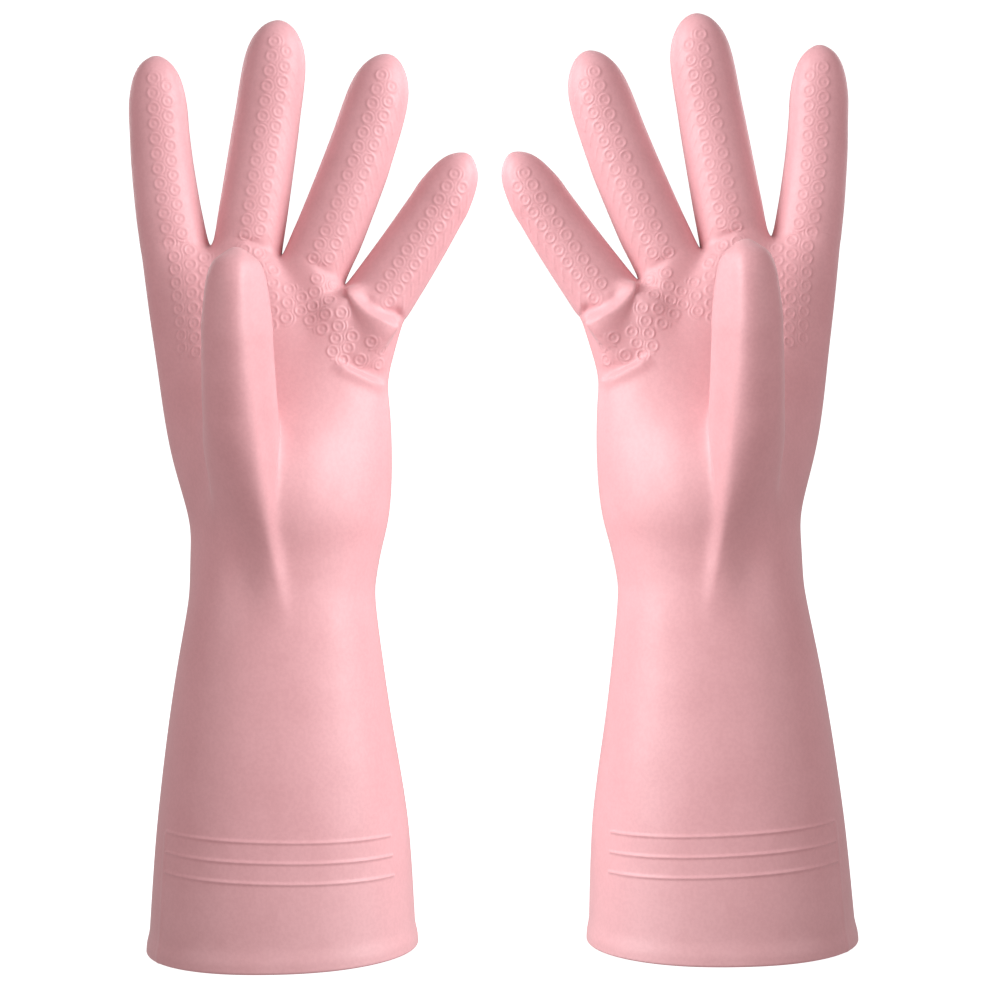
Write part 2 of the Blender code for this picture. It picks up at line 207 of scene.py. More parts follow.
# Folds and rolls of the palm side: three points (x, z) of a curve, height (below 0 a fold), half
# width on the curve's right, going along it, and on its left. In turn, the fold at the little
# finger's root, the roll below it, the foot of the roll and the lip under its foot.
FOLDS = (
    ((0.0318, 0.2275), (0.0372, 0.2196), (0.0466, 0.2190), -0.0016, 0.0016, 0.0022),
    ((0.0262, 0.2290), (0.0330, 0.2200), (0.0435, 0.2125), 0.0047, 0.0105, 0.0035),
    ((0.0222, 0.2048), (0.0308, 0.1997), (0.0400, 0.1962), -0.0010, 0.0013, 0.0030),
    ((0.0214, 0.2020), (0.0304, 0.1970), (0.0398, 0.1935), 0.0010, 0.0024, 0.0014),
)
FOLD_REACH = 3  # half widths beyond which a fold is not felt
# The ridge along the thumb and its ball, as above. Over these heights it leaves the palm, and keeps
# to what stands this far in front.
THUMB_RIDGE = ((0.0060, 0.1080), (-0.0022, 0.1740), (-0.0030, 0.2400), 0.0030, 0.0032, 0.0120)
RIDGE_LEAVES = (0.150, 0.170)
RIDGE_FRONT = (0.026, 0.034)
DENT = (-0.0080, 0.1370, 0.0070, 0.0150, -0.0022)  # centre (x, z), half sizes across and up, height
FOLD_FADE = 0.25  # share of a fold over which it fades in
FRONT_FROM, FRONT_TO = 0.15, 0.75  # how far a surface has to face the front to be shaped by these

LEFT, RIGHT = -1, 1


# ------ smooth functions
def profile(height):
    """Centre, half width, palm depth and back depth of the arm at one height."""
    table = np.array(ARM)
    heights, values = table[:, 0], table[:, 1:]
    slopes = np.gradient(values, heights, axis=0)
    i = int(np.clip(np.searchsorted(heights, height) - 1, 0, len(heights) - 2))
    step = heights[i + 1] - heights[i]
    t = (height - heights[i]) / step
    return (
        (1 + 2 * t) * (1 - t) ** 2 * values[i]
        + t * (1 - t) ** 2 * step * slopes[i]
        + t * t * (3 - 2 * t) * values[i + 1]
        + t * t * (t - 1) * step * slopes[i + 1]
    )


def smoothstep(low, high, value):
    t = np.clip((value - low) / (high - low), 0, 1)
    return t * t * (3 - 2 * t)


def bezier(first, control, last, t):
    return (1 - t) ** 2 * first + 2 * t * (1 - t) * control + t * t * last


def quadratic(first, middle, last, t):
    """A smooth curve through three values at t = 0, 1/2 and 1."""
    return bezier(first, 2 * middle - (first + last) / 2, last, t)


def unit(vector):
    return vector / np.linalg.norm(vector)


def hump(distance, width):
    """A smooth bump: 1 at no distance, nearly 0 at twice the width."""
    return np.exp(-((distance / width) ** 2))


# ------ the skin cage
class Skin:
    """The points of one glove's skin, and its four-sided faces, each with its stretch's name."""

    def __init__(self):
        self.points, self.faces, self.stretches, self.cells = [], [], [], []

    def add(self, points):
        first = len(self.points)
        self.points.extend(np.asarray(points, float))
        return list(range(first, len(self.points)))

    def face(self, stretch, corners, cell):
        """One face, and how large its cells may be across (from its first corner) and along."""
        self.faces.append(corners)
        self.stretches.append(stretch)
        self.cells.append(cell)

    def band(self, stretch, low, high, skip=(), cells=None):
        """Joins two rings of equal length, leaving out the faces that start at the skipped points.
        cells gives a face's cell sizes, across and along, from its place in the band."""
        for i in range(len(low)):
            j = (i + 1) % len(low)
            if i not in skip:
                corners = (low[i], low[j], high[j], high[i])
                self.face(stretch, corners, cells(i) if cells else PLAIN)


def spread(height):
    """Every column's share of the half width, and whether it runs on the palm side (-1) or back."""
    mix = smoothstep(SPREAD_FROM, SPREAD_TO, height)
    front = [(1 - mix) * a + mix * b for a, b in zip(CUFF_SPREAD, PALM_SPREAD)]
    return [(f, -1) for f in front] + [(f, 1) for f in front[-2:0:-1]]


def arm_point(height, share, side):
    centre, half_width, palm, back = profile(height)
    depth = (palm if side < 0 else back) * math.sqrt(max(1 - abs(share) ** OVAL_POWER, 0))
    if side < 0:
        aside = (share - BALL_SHARE) / BALL_SHARES[int(share > BALL_SHARE)]
        above = (height - BALL_HEIGHT) / BALL_SPANS[int(height > BALL_HEIGHT)]
        depth += BALL_SWELL * math.exp(-(aside**2) - above**2)
    return np.array((centre + half_width * share, side * depth, height))


def arm_row(height):
    return [arm_point(height, share, side) for share, side in spread(height)]


def ring(centre, across, back, half_width, half_depth):
    """Eight points round a tube, from the index side over the palm side and on round the back."""
    angles = [math.pi + 2 * math.pi * k / RING for k in range(RING)]
    return [
        centre + across * half_width * math.cos(a) + back * half_depth * math.sin(a) for a in angles
    ]


def finger_cells(i):
    """Fine cells on the three faces of a finger that carry the grip."""
    return GRIPPED if i in (1, 2, 3) else PLAIN


def tube(skin, name, root, place, length, stations, cells=None):
    """A finger or thumb: bands up to each station (distance, stretch below it), then the tip."""
    low = root
    for distance, stretch in stations:
        high = skin.add(ring(*place(distance)))
        skin.band(stretch, low, high, cells=cells)
        low = high
    start = length - FINGERTIP
    for angle in TIP_RINGS:
        a = math.radians(angle)
        centre, across, back, half_width, half_depth = place(start + FINGERTIP * math.sin(a))
        shrink = math.cos(a)
        high = skin.add(ring(centre, across, back, half_width * shrink, half_depth * shrink))
        skin.band(f"{name}_tip", low, high, cells=cells)
        low = high
    (end,) = skin.add([place(length)[0]])
    for k in range(0, RING, 2):
        skin.face(f"{name}_tip", (end, low[k], low[k + 1], low[(k + 2) % RING]), TIP_END)


# ------ the fingers
def finger_place(name):
    """The finger's length, and the function from a distance along it to the tube's place there."""
    root, tip, bow, widths = FINGERS[name]
    root, tip = np.array(root), np.array(tip)
    length = float(np.linalg.norm(tip - root))
    along = (tip - root) / length
    across = np.array((along[1], -along[0]))

    def place(distance):
        t = distance / length
        middle = root + along * distance + across * (bow * 4 * t * (1 - t))
        heading = unit(along + across * (bow * 4 * (1 - 2 * t) / length))
        centre = np.array((middle[0], -FINGER_FORWARD * t * t, middle[1]))
        half_width = quadratic(*widths, t)
        side = np.array((heading[1], 0, -heading[0]))
        return centre, side, np.array((0.0, 1.0, 0.0)), half_width, half_width * FINGER_DEPTH

    return length, place


def finger_joints(name):
    """Distances along the finger at which its two flexing stretches start and end."""
    length, _ = finger_place(name)
    middle = length * MIDDLE_AT
    return (
        (ROOT_COLLAR, ROOT_COLLAR + KNUCKLE_FLEX),
        (middle - MIDDLE_FLEX / 2, middle + MIDDLE_FLEX / 2),
    )


def joint_stations(name, first, second):
    """A digit's rings up to past its two joints: how far along, and the stretch below each."""
    (start, end), (middle, middle_end) = first, second
    return [
        (start, "hand"),
        ((start + end) / 2, f"{name}_base"),
        (end, f"{name}_base"),
        (middle, f"{name}_base"),
        ((middle + middle_end) / 2, f"{name}_tip"),
        (middle_end, f"{name}_tip"),
    ]


def finger(skin, name, root):
    length, place = finger_place(name)
    stations = joint_stations(name, *finger_joints(name)) + [(length - FINGERTIP, f"{name}_tip")]
    tube(skin, name, root, place, length, stations, cells=finger_cells)


def thumb_length():
    curve = bezier(*(np.array(p) for p in THUMB_CURVE), CURVE_STEPS)
    return float(np.linalg.norm(np.diff(curve, axis=0), axis=1).sum())


def thumb_place(distance):
    t = distance / thumb_length()
    a, b, c = (np.array(p) for p in THUMB_CURVE)
    along = unit((1 - t) * (b - a) + t * (c - b))
    across = unit(np.cross(np.array((0.0, 1.0, 0.0)), along))
    half_width = quadratic(*THUMB_WIDTHS, t)
    back = np.cross(along, across)
    return bezier(a, b, c, t), across, back, half_width, half_width * THUMB_DEPTH


def thumb(skin, root):
    length = thumb_length()
    shares = joint_stations("thumb", THUMB_ROOT_FLEX, THUMB_MIDDLE_FLEX)
    stations = [(share * length, stretch) for share, stretch in shares]
    between = zip(THUMB_HALFWAY, root, ring(*thumb_place(stations[0][0])))
    halfway = skin.add([(1 - s) * skin.points[n] + s * point for s, n, point in between])
    skin.band("hand", root, halfway)
    tube(skin, "thumb", halfway, thumb_place, length, stations)


# ------ gauntlet, palm, hand
def finger_roots(skin):
    """The hand's top edge: its twenty columns, and each finger's own ring of eight."""
    rings = []
    for name in FINGERS:
        _, place = finger_place(name)
        rings.append(ring(*place(0)))
    dip = np.array((0, 0, WEB_DIP))
    for left, right in zip(rings, rings[1:]):
        for a, b, drop in ((4, 0, 0), (3, 1, dip), (5, 7, dip)):
            left[a] = right[b] = (left[a] + right[b]) / 2 - drop
    columns = [None] * COLUMNS
    webs = []
    for f, points in enumerate(rings):
        front = [2 * f + 1, 2 * f + 2, 2 * f + 3]
        for column, k in zip(front + [COLUMNS - c for c in front], (1, 2, 3, 7, 6, 5)):
            columns[column] = points[k]
        if f:
            webs.append(points[0])
    columns[0], columns[HALF] = rings[0][0], rings[3][4]
    top = skin.add(columns)
    webs = [top[0], *skin.add(webs), top[HALF]]
    roots = []
    for f in range(len(rings)):
        front = top[2 * f + 1 : 2 * f + 4]
        back = [top[COLUMNS - c] for c in (2 * f + 3, 2 * f + 2, 2 * f + 1)]
        roots.append([webs[f], *front, webs[f + 1], *back])
    return top, roots


def palm_rows(skin, below, top):
    """Rows that lead from the level row under the finger roots to the sloping edge of the hand."""
    rows = []
    for step in range(1, PALM_ROWS):
        mix = step / PALM_ROWS
        row = []
        for k, (share, side) in enumerate(spread(SPREAD_TO)):
            straight = (1 - mix) * skin.points[below[k]] + mix * skin.points[top[k]]
            held = arm_point(straight[2], share, side)
            row.append((1 - mix**2) * held + mix**2 * straight)
            row[-1][2] = straight[2]
        rows.append(skin.add(row))
    return rows


def front_cells(size):
    """Cell sizes for a band round the hand: finer on its palm side."""
    return lambda i: (size, size) if i < HALF else PLAIN


def gauntlet_cells(low, high):
    """Low cells where the hem and the ribs are, and narrow ones at the side line and rib ends."""
    ribbed = low < RIBS_TO and high > RIBS_FROM
    along = RIB_CELL if ribbed or low == 0 else PLAIN_CELL
    narrow = NARROW_FACES if low < SIDE_LINE_TOP else ()
    return lambda i: (GRIP_CELL if i in narrow else PLAIN_CELL, along)


def glove_skin():
    skin = Skin()
    rows = [skin.add(arm_row(h)) for h in GAUNTLET_ROWS]
    for k in range(len(rows) - 1):
        cells = gauntlet_cells(GAUNTLET_ROWS[k], GAUNTLET_ROWS[k + 1])
        skin.band("gauntlet", rows[k], rows[k + 1], cells=cells)
    wrist = [skin.add(arm_row(h)) for h in WRIST_ROWS]
    palm = front_cells(PALM_CELL)
    for low, high in zip([rows[-1], *wrist], wrist):
        skin.band("wrist", low, high, cells=palm)

    root_rows = [skin.add(arm_row(h)) for h in THUMB_ROWS]
    opening = THUMB_COLUMNS[:-1]
    skin.band("hand", wrist[-1], root_rows[0], cells=palm)
    for low, high in zip(root_rows, root_rows[1:]):
        skin.band("hand", low, high, skip=opening, cells=palm)

    top, roots = finger_roots(skin)
    rows = [root_rows[-1], *palm_rows(skin, root_rows[-1], top), top]
    grip = front_cells(GRIP_CELL)
    for low, high in zip(rows, rows[1:]):
        skin.band("hand", low, high, cells=grip)
    for name, root in zip(FINGERS, roots):
        finger(skin, name, root)

    low, middle, high = root_rows
    a, b, c = THUMB_COLUMNS
    ball = [middle[a], low[a], low[b], low[c], middle[c], high[c], high[b], high[a]]
    thumb(skin, ball)
    return skin


# ------ the smooth surface
def linked(name, data):
    """A new object in the scene."""
    obj = bpy.data.objects.new(name, data)
    bpy.context.scene.collection.objects.link(obj)
    return obj


def values_of(items, name, width, kind=np.float32):
    """One property of every item of a Blender collection, as rows."""
    found = np.zeros((len(items), width), kind)
    items.foreach_get(name, found.ravel())
    return found


def subdivided(points, faces, level):
    """The smooth limit surface of a cage, as Blender's Subdivision Surface makes it."""
    mesh = bpy.data.meshes.new("cage")
    mesh.from_pydata(points.tolist(), [], faces)
    layer = mesh.uv_layers.new(name="place")
    corners = np.tile(((0, 0), (1, 0), (1, 1), (0, 1)), (len(faces), 1))
    layer.data.foreach_set("uv", corners.astype(np.float32).ravel())
    number = mesh.attributes.new("cage_face", "INT", "FACE")
    number.data.foreach_set("value", np.arange(len(faces), dtype=np.int32))
    obj = linked("cage", mesh)
    smooth = obj.modifiers.new("smooth", "SUBSURF")
    smooth.levels = smooth.render_levels = level
    smooth.uv_smooth = "NONE"
    fine = bpy.data.meshes.new_from_object(obj.evaluated_get(bpy.context.evaluated_depsgraph_get()))
    bpy.data.objects.remove(obj)
    bpy.data.meshes.remove(mesh)
    return fine


def coordinates(mesh):
    return values_of(mesh.vertices, "co", 3).astype(float)


def fitted(points, faces):
    """The cage whose smooth surface passes through the given points."""
    cage = points.copy()
    for _ in range(FIT_ROUNDS):
        smooth = subdivided(cage, faces, 1)
        cage += points - coordinates(smooth)[: len(points)]
        bpy.data.meshes.remove(smooth)
    return cage


def surface_grids(points, faces):
    """For every cage face, the smooth surface's points on an even grid over it."""
    fine = subdivided(fitted(points, faces), faces, SMOOTH_LEVEL)
    places = values_of(fine.uv_layers["place"].data, "uv", 2)
    corner = values_of(fine.loops, "vertex_index", 1, np.int32)[:, 0]
    number = values_of(fine.attributes["cage_face"].data, "value", 1, np.int32)[:, 0]
    steps = np.rint(places * SMOOTH_STEPS).astype(int)
    grids = np.zeros((len(faces), SMOOTH_STEPS + 1, SMOOTH_STEPS + 1, 3))
    grids[np.repeat(number, 4), steps[:, 0], steps[:, 1]] = coordinates(fine)[corner]
    bpy.data.meshes.remove(fine)
    return grids


def sample(grid, across, along):
    """Points of one face's grid at places given in UNIT steps."""
    u, v = across / UNIT * SMOOTH_STEPS, along / UNIT * SMOOTH_STEPS
    i = np.minimum(u.astype(int), SMOOTH_STEPS - 1)
    j = np.minimum(v.astype(int), SMOOTH_STEPS - 1)
    s, t = (u - i)[..., None], (v - j)[..., None]
    low = grid[i, j] * (1 - s) + grid[i + 1, j] * s
    high = grid[i, j + 1] * (1 - s) + grid[i + 1, j + 1] * s
    return low * (1 - t) + high * t


def cell_count(length, largest):
    """The fewest cells that divide an edge into lengths no larger than asked."""
    for count in CELL_COUNTS:
        if length / count <= largest:
            return count
    return CELL_COUNTS[-1]


def face_counts(points, faces, cells):
    """How many cells each face has, across and along."""
    counts = []
    for (a, b, c, d), (across, along) in zip(faces, cells):
        width = max(np.linalg.norm(points[a] - points[b]), np.linalg.norm(points[d] - points[c]))
        height = max(np.linalg.norm(points[a] - points[d]), np.linalg.norm(points[b] - points[c]))
        counts.append((cell_count(width, across), cell_count(height, along)))
    return counts


def edge_of(a, b):
    return (min(a, b), max(a, b))


def sides_of(corners):
    return [(corners[k], corners[(k + 1) % 4]) for k in range(4)]


def edge_cuts(faces, counts, extra=()):
    """Where along each cage edge the vertices lie, in UNIT steps. extra holds more such cuts."""
    cuts = {edge: set(places) for edge, places in dict(extra).items()}
    for corners, (across, along) in zip(faces, counts):
        for side, count in zip(sides_of(corners), (across, along, across, along)):
            cuts.setdefault(edge_of(*side), set()).update(range(0, UNIT + 1, UNIT // count))
    return {edge: np.array(sorted(places)) for edge, places in cuts.items()}


class Sheet:
    """The smooth skin, sampled cell by cell. Unlike faces share the vertices between them."""

    def __init__(self, faces, grids, counts, cuts):
        self.points, self.size = [], 0
        self.cuts, self.corners, self.edges = cuts, {}, {}
        self.polygons = [self.cover(*given) for given in zip(faces, grids, counts)]
        self.points = np.concatenate(self.points)

    def add(self, points):
        first = self.size
        self.points.append(points)
        self.size += len(points)
        return np.arange(first, self.size)

    def corner(self, name, point):
        if name not in self.corners:
            self.corners[name] = int(self.add(point[None])[0])
        return self.corners[name]

    def side(self, a, b, grid=None, start=None, end=None):
        """The vertices along a cage edge from corner a to corner b: their places and numbers."""
        edge = edge_of(a, b)
        places = self.cuts[edge]
        if edge not in self.edges:
            steps = places if (a, b) == edge else UNIT - places
            t = steps[:, None] / UNIT
            spots = np.array(start) * (1 - t) + np.array(end) * t
            points = sample(grid, spots[:, 0], spots[:, 1])
            ends = [self.corner(edge[0], points[0]), self.corner(edge[1], points[-1])]
            self.edges[edge] = np.array([ends[0], *self.add(points[1:-1]), ends[1]])
        numbers = self.edges[edge]
        return (places, numbers) if (a, b) == edge else (UNIT - places[::-1], numbers[::-1])

    def cover(self, corners, grid, count):
        """The cells of one cage face, as polygons."""
        a, b, c, d = corners
        wide, high = count
        foot = self.side(a, b, grid, (0, 0), (UNIT, 0))
        right = self.side(b, c, grid, (UNIT, 0), (UNIT, UNIT))
        head = self.side(d, c, grid, (0, UNIT), (UNIT, UNIT))
        left = self.side(a, d, grid, (0, 0), (0, UNIT))
        number = np.zeros((wide + 1, high + 1), int)
        for (places, numbers), cells, spot in (
            (foot, wide, (slice(None), 0)),
            (head, wide, (slice(None), -1)),
            (left, high, (0, slice(None))),
            (right, high, (-1, slice(None))),
        ):
            number[spot] = numbers[places % (UNIT // cells) == 0]
        across = np.arange(1, wide) * (UNIT // wide)
        along = np.arange(1, high) * (UNIT // high)
        inner = sample(grid, *np.meshgrid(across, along, indexing="ij"))
        number[1:-1, 1:-1] = self.add(inner.reshape(-1, 3)).reshape(wide - 1, high - 1)
        quads = np.stack(
            (number[:-1, :-1], number[1:, :-1], number[1:, 1:], number[:-1, 1:]), axis=-1
        )
        sides = (foot, right, head, left)
        if all(len(places) - 1 == n for (places, _), n in zip(sides, (wide, high, wide, high))):
            return quads.reshape(-1, 4).tolist()
        return self.fringed(quads, sides, wide, high)

    @staticmethod
    def fringed(quads, sides, wide, high):
        """The cells of a face with finer neighbours: those at its sides take in more vertices."""

        def between(side, cell, cells):
            places, numbers = side
            step = UNIT // cells
            return numbers[(places >= cell * step) & (places <= (cell + 1) * step)].tolist()

        foot, right, head, left = sides
        polygons = []
        for i in range(wide):
            for j in range(high):
                a, b, c, d = quads[i, j].tolist()
                around = between(foot, i, wide) if j == 0 else [a, b]
                around += between(right, j, high)[1:] if i == wide - 1 else [c]
                around += between(head, i, wide)[::-1][1:] if j == high - 1 else [d]
                around += between(left, j, high)[::-1][1:-1] if i == 0 else []
                polygons.append(around)
        return polygons

    def find_normals(self):
        mesh = bpy.data.meshes.new("measure")
        polygons = [polygon for face in self.polygons for polygon in face]
        mesh.from_pydata(self.points.tolist(), [], polygons)
        self.normals = values_of(mesh.vertex_normals, "vector", 3).astype(float)
        bpy.data.meshes.remove(mesh)


# ------ folds, dents and relief
def fold_height(places, fold):
    """How far one fold or roll lifts the skin at places (x, z); it fades towards its ends."""
    *through, height, right, left = fold
    curve = quadratic(*(np.array(p) for p in through), CURVE_STEPS)
    nearest = np.linalg.norm(places[:, None] - curve[None], axis=2).argmin(axis=1)
    heading = np.gradient(curve, axis=0)[nearest]
    step = np.linalg.norm(heading, axis=1)
    away = places - curve[nearest]
    aside = (heading[:, 0] * away[:, 1] - heading[:, 1] * away[:, 0]) / step
    share = (nearest + (heading * away).sum(axis=1) / step**2) / (len(curve) - 1)
    fade = smoothstep(0, FOLD_FADE, share) * smoothstep(0, FOLD_FADE / 2, 1 - share)
    return height * fade * hump(aside, np.where(aside > 0, left, right))


def shaped(points, normals):
    """The skin with its folds, its dent and the ridge along the thumb."""
    lift = np.zeros(len(points))
    places = points[:, (0, 2)]
    for fold in FOLDS:
        reach = FOLD_REACH * max(fold[4:])
        low, high = min(p[1] for p in fold[:3]) - reach, max(p[1] for p in fold[:3]) + reach
        near = np.flatnonzero((places[:, 1] > low) & (places[:, 1] < high) & (normals[:, 1] < 0))
        lift[near] += fold_height(places[near], fold)
    near = np.flatnonzero(normals[:, 1] < 0)
    behind = 1 - smoothstep(*RIDGE_FRONT, -points[near, 1])
    held = 1 - smoothstep(*RIDGE_LEAVES, points[near, 2]) * behind
    lift[near] += held * fold_height(places[near], THUMB_RIDGE)
    x, z, wide, tall, height = DENT
    lift += height * np.exp(-(((places[:, 0] - x) / wide) ** 2) - ((places[:, 1] - z) / tall) ** 2)
    lift *= smoothstep(FRONT_FROM, FRONT_TO, -normals[:, 1])
    return points + normals * lift[:, None]


def hem_height(heights, swell):
    """How far the hem swells, less what the half round under it draws the skin in."""
    down = np.clip(HEM_ROUND - heights, 0, HEM_ROUND)
    turn = HEM_ROUND - np.sqrt(HEM_ROUND**2 - down**2)
    return swell * (1 - smoothstep(HEM_FROM, HEM_TO, heights)) - turn


def rib_height(points):
    """The cuff's ribs and its moulded side line."""
    cuff = points[:, 2] < RIBS_TO
    lift = np.zeros(len(points))
    x, y, z = points[cuff].T
    half_width = np.interp(z, [row[0] for row in ARM], [row[2] for row in ARM])
    share = x / half_width
    first, last = RIB_SHARES
    within = smoothstep(first, first + RIB_FADE, share)
    within *= smoothstep(-last, -last + RIB_FADE, -share)
    ribs = np.max([hump(z - h - RIB_SLOPE * x, RIB_WIDTH) for h in RIB_HEIGHTS], axis=0)
    line = SIDE_LINE_PROUD * hump((share - first) * half_width, SIDE_LINE_WIDTH)
    line *= smoothstep(0, SIDE_LINE_FADE, SIDE_LINE_TOP - z)
    lift[cuff] = np.maximum(RIB_PROUD * ribs * within, line * (y < 0))
    return lift


# ------ the grip
def finger_spot(name, distance, offset):
    """A place on a finger's palm side, and the directions across and along it there."""
    length, place = finger_place(name)
    centre, across, back, half_width, half_depth = place(distance)
    beyond = max(distance - (length - FINGERTIP), 0) / FINGERTIP
    shrink = math.sqrt(1 - beyond**2)
    angle = offset / half_width
    spot = (
        centre
        + across * half_width * shrink * math.sin(angle)
        - back * half_depth * shrink * math.cos(angle)
    )
    along = unit(np.cross(back, across))
    right = unit(across * math.cos(angle) + back * (half_depth / half_width) * math.sin(angle))
    return spot, right, along


def palm_spot(points, normals, x, z):
    """The place on the palm nearest to (x, z), and the directions across and up there."""
    nearest = int(((points[:, 0] - x) ** 2 + (points[:, 2] - z) ** 2).argmin())
    normal = normals[nearest]
    up = unit(np.array((0, 0, 1.0)) - normal * normal[2])
    return points[nearest], np.cross(up, normal), up


def ring_mark(x, y):
    radius = np.hypot(x, y)
    line = RING_PROUD * hump(radius - RING_RADIUS, RING_WIDTH)
    return np.maximum(line, DOT_PROUD * hump(radius, DOT_WIDTH))


def arc_mark(start, end):
    """A line on a circle round the ring, between two angles in degrees."""
    middle, half = math.radians((start + end) / 2), math.radians((end - start) / 2)

    def height(x, y):
        forward = x * math.cos(middle) + y * math.sin(middle)
        aside = y * math.cos(middle) - x * math.sin(middle)
        held = np.clip(np.arctan2(aside, forward), -half, half) + middle
        gap = np.hypot(x - LINK_RADIUS * np.cos(held), y - LINK_RADIUS * np.sin(held))
        return LINK_PROUD * hump(gap, LINK_WIDTH)

    return height


def stroke_mark(x, y):
    slant = math.radians(STROKE_SLANT)
    along = x * math.cos(slant) + y * math.sin(slant)
    aside = y * math.cos(slant) - x * math.sin(slant)
    beyond = np.maximum(np.abs(along) - STROKE_LENGTH / 2, 0)
    return LINK_PROUD * hump(np.hypot(beyond, aside), LINK_WIDTH)


LEAN = math.degrees(math.atan2(PITCH / 2, COLUMN_STEP))  # from a first-column ring to the next ring
FIRST_LINK, SECOND_LINK = arc_mark(LINKS_FROM[0], LEAN), arc_mark(LINKS_FROM[1], 180 + LEAN)


def grip_marks(points, normals):
    """Every mark of the grip: its height function, its place and its directions across and up."""
    marks = []

    def add(spot, *heights):
        marks.extend((height, *spot) for height in heights)

    for name in FINGERS:
        length, _ = finger_place(name)
        rings = int((length - FIRST_RING - LAST_RING) / PITCH) + 1
        for k in range(rings):
            first = length - FIRST_RING - k * PITCH
            second = first - PITCH / 2
            add(finger_spot(name, first, 0), ring_mark, FIRST_LINK)
            if second > LAST_RING:
                add(finger_spot(name, second, COLUMN_STEP), ring_mark, SECOND_LINK)
            if name in STROKED and k:
                add(finger_spot(name, first, STROKE_AT), stroke_mark)
    for k, (top, low) in enumerate(PALM_COLUMNS):
        top, low = np.array(top), np.array(low)
        count = round(float(np.linalg.norm(top - low)) / PALM_PITCH) + 1
        for place in np.linspace(top, low, count):
            link = SECOND_LINK if k % 2 else FIRST_LINK
            add(palm_spot(points, normals, *place), ring_mark, link)
    return marks


def grip_height(points, normals):
    lift = np.zeros(len(points))
    gripping = (points[:, 2] > THUMB_ROWS[-1]) & (points[:, 1] > GRIP_FRONT)
    front = np.flatnonzero((normals[:, 1] < 0) & gripping)
    places = points[front]
    for height, spot, right, up in grip_marks(places, normals[front]):
        away = places - spot
        near = np.flatnonzero(np.abs(away).max(axis=1) < MARK_REACH)
        found = height(away[near] @ right, away[near] @ up)
        lift[front[near]] = np.maximum(lift[front[near]], found)
    return lift


# ------ the pieces
class Glove:
    """One glove's sheets in glove coordinates: the rubber's two sides and the lining's two."""

    def __init__(self):
        skin = glove_skin()
        points = np.array(skin.points)
        self.faces, self.stretches = skin.faces, skin.stretches
        grids = surface_grids(points, skin.faces)
        counts = face_counts(points, skin.faces, skin.cells)
        cuts = edge_cuts(skin.faces, counts)
        self.outer = Sheet(skin.faces, grids, counts, cuts)
        coarse = face_counts(points, skin.faces, [(INNER_CELL, INNER_CELL)] * len(skin.faces))
        borders = {edge: cuts[edge] for edge in self.border_edges()}
        inner_cuts = edge_cuts(skin.faces, coarse, borders)
        self.inner, self.flock, self.fleece = (
            Sheet(skin.faces, grids, coarse, inner_cuts) for _ in range(3)
        )
        self.finish_surfaces()

    def border_edges(self):
        """Cage edges at which one piece ends."""
        sides = {}
        for stretch, corners in zip(self.stretches, self.faces):
            for side in sides_of(corners):
                sides.setdefault(edge_of(*side), []).append(stretch)
        foot = {edge for edge in sides if all(n // COLUMNS == LINING_FOOT_ROW for n in edge)}
        ends = {edge for edge, found in sides.items() if len(found) == 1 or len(set(found)) > 1}
        return ends | foot

    def finish_surfaces(self):
        outer, inner = self.outer, self.inner
        for sheet in (outer, inner, self.flock, self.fleece):
            sheet.find_normals()
            sheet.points = shaped(sheet.points, sheet.normals)
            sheet.find_normals()
            sheet.rest = sheet.points
        lift = hem_height(outer.points[:, 2], HEM_SWELL) + rib_height(outer.points)
        lift += grip_height(outer.points, outer.normals)
        outer.points = outer.points + outer.normals * lift[:, None]
        outer.find_normals()
        wall = WALL + hem_height(inner.points[:, 2], HEM_INSIDE)
        for sheet, depth in (
            (inner, wall[:, None]),
            (self.flock, WALL + LINING_CLEARANCE),
            (self.fleece, WALL + LINING_CLEARANCE + LINING),
        ):
            sheet.points = sheet.points - sheet.normals * depth

    def shell(self, chosen, outside, inside):
        """A closed piece between two sheets over the chosen cage faces."""
        polygons, directed = [], []
        for f in chosen:
            polygons += outside.polygons[f]
            directed += sides_of(self.faces[f])
        offset = len(outside.points)
        for f in chosen:
            polygons += [[offset + n for n in reversed(polygon)] for polygon in inside.polygons[f]]
        turned = set(directed)
        for a, b in directed:
            if (b, a) not in turned:
                _, out = outside.side(a, b)
                _, back = inside.side(a, b)
                out, back = out.tolist(), (back + offset).tolist()
                for k in range(len(out) - 1):
                    polygons.append([out[k + 1], out[k], back[k], back[k + 1]])
        points = np.concatenate((outside.points, inside.points))
        normals = np.concatenate((outside.normals, -inside.normals))
        rest = np.concatenate((outside.rest, inside.rest))
        used = np.unique(np.concatenate([np.array(p) for p in polygons]))
        number = np.zeros(len(points), int)
        number[used] = np.arange(len(used))
        polygons = [[int(number[n]) for n in polygon] for polygon in polygons]
        return points[used], normals[used], rest[used], polygons


def place_of(side):
    """Where one glove's coordinates start: at the middle of its gauntlet, on the floor."""
    low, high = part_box("left_gauntlet" if side == LEFT else "right_gauntlet")
    return np.array(((low.x + high.x) / 2, (low.y + high.y) / 2, 0.0))


def in_place(points, side):
    return np.asarray(points) * (-side, 1, 1) + place_of(side)


def piece_object(name, side, shell, material):
    points, normals, rest, polygons = shell
    normals = normals * (-side, 1, 1)
    if side == RIGHT:
        polygons = [polygon[::-1] for polygon in polygons]
    mesh = bpy.data.meshes.new(name)
    mesh.from_pydata(in_place(points, side).tolist(), [], polygons)
    attribute = mesh.attributes.new("rest_place", "FLOAT_VECTOR", "POINT")
    attribute.data.foreach_set("vector", rest.astype(np.float32).ravel())
    mesh.shade_smooth()
    mesh.normals_split_custom_set_from_vertices(normals.tolist())
    mesh.materials.append(material)
    return linked(name, mesh)


